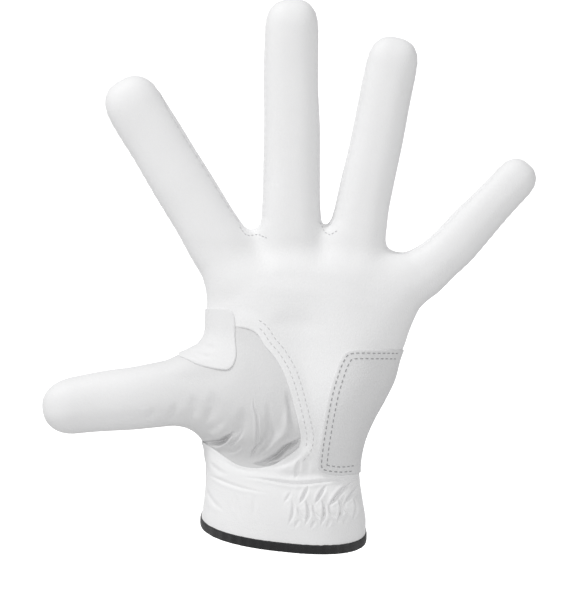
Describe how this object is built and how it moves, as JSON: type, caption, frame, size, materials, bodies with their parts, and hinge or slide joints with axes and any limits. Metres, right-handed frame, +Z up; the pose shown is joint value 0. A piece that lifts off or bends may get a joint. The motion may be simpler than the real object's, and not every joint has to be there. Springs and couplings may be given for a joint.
{
  "type": "golf glove",
  "caption": "Left-hand golf glove in thin white leather with fourchettes, elastic wrist, black-bound hem and a folding hook-and-loop closure tab.",
  "frame": {"origin": "middle of the opening at the hem, at the height of the hem's lowest point", "axes": "+Z up the hand to the fingertips, palm facing -Y, thumb toward -X"},
  "size_m": [0.197, 0.0447, 0.2219],
  "materials": {
    "white_leather": "soft matt, fine grain",
    "black_tape": "woven, matt",
    "elastic": "woven, matt",
    "label_cloth": "satin weave",
    "loop_cloth": "napped",
    "hook_plastic": "matt"
  },
  "bodies": {
    "hand": {"palm_panel": "white_leather", "back_panel": "white_leather", "thumb_base": "white_leather", "index_middle_fourchette": "white_leather", "middle_ring_fourchette": "white_leather", "ring_little_fourchette": "white_leather", "heel_patch": "white_leather", "web_patch": "white_leather", "hem_binding": "black_tape", "slit_binding": "black_tape", "wrist_elastic": "elastic", "size_label": "label_cloth", "loop_patch": "loop_cloth", "tab_root": "white_leather"},
    "index_lower": {"index_palm_side_lower": "white_leather", "index_back_lower": "white_leather", "index_right_fourchette_lower": "white_leather"},
    "index_upper": {"index_palm_side_upper": "white_leather", "index_back_upper": "white_leather", "index_right_fourchette_upper": "white_leather"},
    "middle_lower": {"middle_palm_side_lower": "white_leather", "middle_back_lower": "white_leather", "middle_left_fourchette_lower": "white_leather", "middle_right_fourchette_lower": "white_leather"},
    "middle_upper": {"middle_palm_side_upper": "white_leather", "middle_back_upper": "white_leather", "middle_left_fourchette_upper": "white_leather", "middle_right_fourchette_upper": "white_leather"},
    "ring_lower": {"ring_palm_side_lower": "white_leather", "ring_back_lower": "white_leather", "ring_left_fourchette_lower": "white_leather", "ring_right_fourchette_lower": "white_leather"},
    "ring_upper": {"ring_palm_side_upper": "white_leather", "ring_back_upper": "white_leather", "ring_left_fourchette_upper": "white_leather", "ring_right_fourchette_upper": "white_leather"},
    "little_lower": {"little_palm_side_lower": "white_leather", "little_back_lower": "white_leather", "little_left_fourchette_lower": "white_leather"},
    "little_upper": {"little_palm_side_upper": "white_leather", "little_back_upper": "white_leather", "little_left_fourchette_upper": "white_leather"},
    "thumb_lower": {"thumb_palm_side_lower": "white_leather", "thumb_back_lower": "white_leather"},
    "thumb_upper": {"thumb_palm_side_upper": "white_leather", "thumb_back_upper": "white_leather"},
    "tab": {"tab_leather": "white_leather", "tab_hook": "hook_plastic"}
  },
  "joints": [
    {"name": "index_base_fold", "type": "hinge", "parent": "hand", "child": "index_lower", "pos_m": [-0.0312, -0.01101, 0.13045], "axis": [0.8545, 0, 0.5195], "range_deg": [0, 75]},
    {"name": "index_middle_fold", "type": "hinge", "parent": "index_lower", "child": "index_upper", "pos_m": [-0.04678, -0.01043, 0.15608], "axis": [0.8545, 0, 0.5195], "range_deg": [0, 75]},
    {"name": "middle_base_fold", "type": "hinge", "parent": "hand", "child": "middle_lower", "pos_m": [0.0022, -0.01122, 0.139], "axis": [1, 0, 0], "range_deg": [0, 75]},
    {"name": "middle_middle_fold", "type": "hinge", "parent": "middle_lower", "child": "middle_upper", "pos_m": [0.0022, -0.01064, 0.175], "axis": [1, 0, 0], "range_deg": [0, 75]},
    {"name": "ring_base_fold", "type": "hinge", "parent": "hand", "child": "ring_lower", "pos_m": [0.03041, -0.01061, 0.1365], "axis": [0.9796, 0, -0.2011], "range_deg": [0, 75]},
    {"name": "ring_middle_fold", "type": "hinge", "parent": "ring_lower", "child": "ring_upper", "pos_m": [0.03685, -0.01002, 0.16784], "axis": [0.9796, 0, -0.2011], "range_deg": [0, 75]},
    {"name": "little_base_fold", "type": "hinge", "parent": "hand", "child": "little_lower", "pos_m": [0.06005, -0.00944, 0.11466], "axis": [0.7361, 0, -0.6769], "range_deg": [0, 75]},
    {"name": "little_middle_fold", "type": "hinge", "parent": "little_lower", "child": "little_upper", "pos_m": [0.07596, -0.00876, 0.13195], "axis": [0.7361, 0, -0.6769], "range_deg": [0, 75]},
    {"name": "thumb_base_fold", "type": "hinge", "parent": "hand", "child": "thumb_lower", "pos_m": [-0.04383, -0.01433, 0.06381], "axis": [-0.1253, 0, 0.9921], "range_deg": [0, 45]},
    {"name": "thumb_middle_fold", "type": "hinge", "parent": "thumb_lower", "child": "thumb_upper", "pos_m": [-0.06813, -0.01338, 0.06074], "axis": [-0.1253, 0, 0.9921], "range_deg": [0, 60]},
    {"name": "tab_fold", "type": "hinge", "parent": "hand", "child": "tab", "pos_m": [-0.014, 0.02137, 0.032], "axis": [0, 0, 1], "range_deg": [0, 150]}
  ]
}
